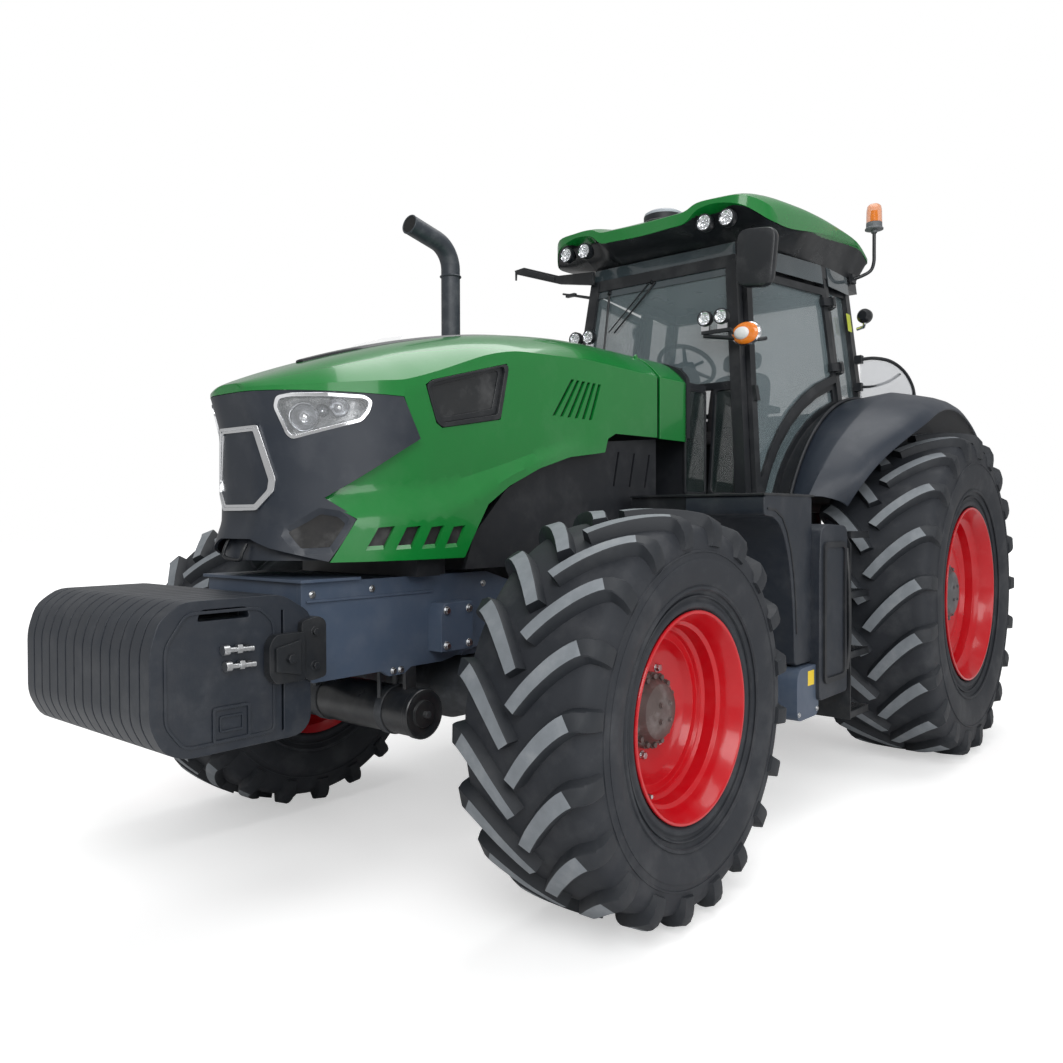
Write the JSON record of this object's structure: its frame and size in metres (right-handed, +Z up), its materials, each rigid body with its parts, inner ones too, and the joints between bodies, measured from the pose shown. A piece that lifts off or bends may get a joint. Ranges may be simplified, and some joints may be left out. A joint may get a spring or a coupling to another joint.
{
  "type": "farm tractor",
  "caption": "Four-wheel-drive farm tractor with steered front wheels, opening hood and cab doors, front weight block and a rear lift linkage.",
  "frame": {"origin": "on the ground, under the middle of the tractor's overall length and width", "axes": "+X forward along the tractor, +Y to its left, +Z up"},
  "size_m": [6.244, 3.2, 3.75],
  "materials": {
    "cast": "painted casting, satin",
    "grey_paint": "satin grey-blue paint",
    "black_paint": "satin black paint",
    "black_plastic": "matt, fine grain",
    "charcoal_plastic": "satin charcoal moulding",
    "weights": "satin blue-black paint on castings",
    "steel": "bare steel",
    "tyre": "rubber, matt",
    "red": "gloss red paint",
    "hub": "satin brown-grey paint",
    "green": "gloss green paint",
    "lamp_glass": "clear moulded lens over bright reflectors",
    "lamp_chrome": "bright reflector and clear lens",
    "exhaust": "heat-proof dark grey paint",
    "glass": "tinted safety glass",
    "fabric": "woven seat cover",
    "amber": "clear amber dome",
    "fender": "satin blue-grey moulding"
  },
  "bodies": {
    "chassis": {"transmission": "cast", "engine": "cast", "radiator": "black_plastic", "front_support": "grey_paint", "front_axle": "cast", "air_tank": "black_paint", "weight_clamp": "black_paint", "front_weights": "weights", "side_panels": "black_plastic", "cowl": "green", "scuttle": "black_plastic", "exhaust": "exhaust", "cab_frame": "black_paint", "cab_floor": "black_plastic", "cab_roof": "green", "roof_fascia": "black_plastic", "work_lamps": "lamp_chrome", "cab_glass": "glass", "seat": "fabric", "dash": "charcoal_plastic", "mirrors": "black_plastic", "side_lamps": "lamp_chrome", "beacon": "amber", "fender_l": "fender", "fender_r": "fender", "tank_l": "charcoal_plastic", "tank_r": "charcoal_plastic", "steps": "black_paint", "top_link": "cast", "drawbar": "black_paint"},
    "knuckle_l": {"knuckle_l": "cast"},
    "knuckle_r": {"knuckle_r": "cast"},
    "tie_rod": {"tie_rod": "steel"},
    "wheel_fl": {"tyre_fl": "tyre", "rim_fl": "red", "hub_fl": "hub"},
    "wheel_fr": {"tyre_fr": "tyre", "rim_fr": "red", "hub_fr": "hub"},
    "wheel_rl": {"tyre_rl": "tyre", "rim_rl": "red", "hub_rl": "hub"},
    "wheel_rr": {"tyre_rr": "tyre", "rim_rr": "red", "hub_rr": "hub"},
    "hood_body": {"hood": "green", "hood_grilles": "black_plastic", "nose": "charcoal_plastic", "nose_frame": "lamp_chrome", "headlamps": "lamp_glass"},
    "door_left": {"door_l": "black_paint", "door_glass_l": "glass"},
    "door_right": {"door_r": "black_paint", "door_glass_r": "glass"},
    "links": {"lower_links": "cast"},
    "rods": {"lift_rods": "cast"},
    "arms": {"lift_arms": "cast"},
    "pto": {"pto_shaft": "steel"}
  },
  "joints": [
    {"name": "steer", "type": "hinge", "parent": "chassis", "child": "knuckle_l", "pos_m": [1.472, 0.94, 0.795], "axis": [0, 0, 1], "range_deg": [-35, 35]},
    {"name": "steer_right", "type": "hinge", "parent": "chassis", "child": "knuckle_r", "pos_m": [1.472, -0.94, 0.795], "axis": [0, 0, 1], "range_deg": [-35, 35]},
    {"name": "tie_rod_pivot", "type": "hinge", "parent": "knuckle_l", "child": "tie_rod", "pos_m": [1.217, 0.94, 0.7], "axis": [0, 0, 1], "range_deg": [-35, 35]},
    {"name": "spin_fl", "type": "hinge", "parent": "knuckle_l", "child": "wheel_fl", "pos_m": [1.472, 1.16, 0.795], "axis": [0, 1, 0], "continuous": true},
    {"name": "spin_fr", "type": "hinge", "parent": "knuckle_r", "child": "wheel_fr", "pos_m": [1.472, -1.16, 0.795], "axis": [0, 1, 0], "continuous": true},
    {"name": "spin_rl", "type": "hinge", "parent": "chassis", "child": "wheel_rl", "pos_m": [-1.828, 1.24, 1.05], "axis": [0, 1, 0], "continuous": true},
    {"name": "spin_rr", "type": "hinge", "parent": "chassis", "child": "wheel_rr", "pos_m": [-1.828, -1.24, 1.05], "axis": [0, 1, 0], "continuous": true},
    {"name": "hood_hinge", "type": "hinge", "parent": "chassis", "child": "hood_body", "pos_m": [0.227, 0, 2.45], "axis": [0, -1, 0], "range_deg": [0, 42]},
    {"name": "door_hinge_l", "type": "hinge", "parent": "chassis", "child": "door_left", "pos_m": [-1.453, 0.855, 2.45], "axis": [0, -0.128, 0.9918], "range_deg": [0, 46]},
    {"name": "door_hinge_r", "type": "hinge", "parent": "chassis", "child": "door_right", "pos_m": [-1.453, -0.855, 2.45], "axis": [0, -0.128, -0.9918], "range_deg": [0, 46]},
    {"name": "lift", "type": "hinge", "parent": "chassis", "child": "links", "pos_m": [-2.078, 0, 0.7], "axis": [0, 1, 0], "range_deg": [-24, 22]},
    {"name": "lift_rod_pivot", "type": "hinge", "parent": "links", "child": "rods", "pos_m": [-2.508, 0, 0.7], "axis": [0, 1, 0], "range_deg": [-22, 24]},
    {"name": "lift_arm_pivot", "type": "hinge", "parent": "chassis", "child": "arms", "pos_m": [-2.148, 0, 1.31], "axis": [0, 1, 0], "range_deg": [-24, 22]},
    {"name": "pto_spin", "type": "hinge", "parent": "chassis", "child": "pto", "pos_m": [-2.318, 0, 0.78], "axis": [1, 0, 0], "continuous": true}
  ],
  "couplings": [
    {"joint": "steer_right", "follows": "steer", "ratio": 1},
    {"joint": "tie_rod_pivot", "follows": "steer", "ratio": -1},
    {"joint": "lift_rod_pivot", "follows": "lift", "ratio": -1},
    {"joint": "lift_arm_pivot", "follows": "lift", "ratio": 1}
  ]
}
